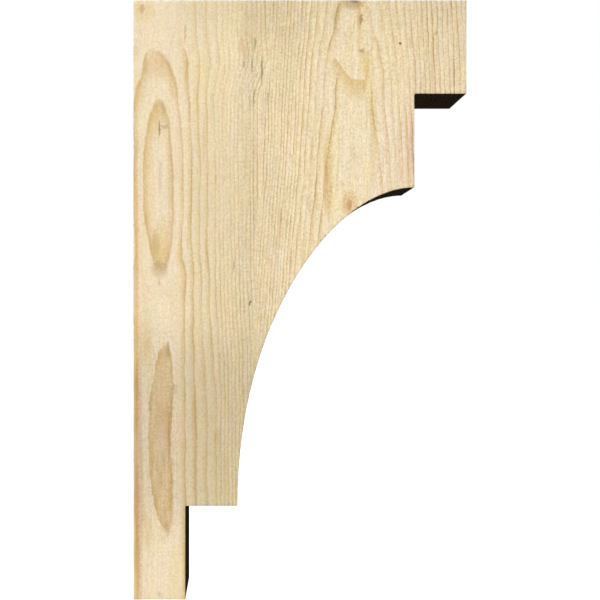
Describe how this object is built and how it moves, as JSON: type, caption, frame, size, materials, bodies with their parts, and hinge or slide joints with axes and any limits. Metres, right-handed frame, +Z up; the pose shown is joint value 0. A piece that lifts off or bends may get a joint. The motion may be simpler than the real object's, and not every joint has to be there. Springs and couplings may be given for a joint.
{
  "type": "corbel bracket",
  "caption": "Flat wooden corbel bracket, stepped at nose and foot with a hollow sweep between, to carry an eave, beam or shelf off a wall.",
  "frame": {"origin": "middle of the back face that goes flat against the wall", "axes": "+X out from the wall, +Y along the wall through the plank's thickness, +Z up"},
  "size_m": [0.508, 0.0888, 0.9144],
  "materials": {
    "rough_sawn_fir": "bare rough-sawn softwood, matt, straight grain running up the bracket with long flat-sawn figures"
  },
  "bodies": {
    "root": {"bracket": "rough_sawn_fir"}
  },
  "joints": []
}
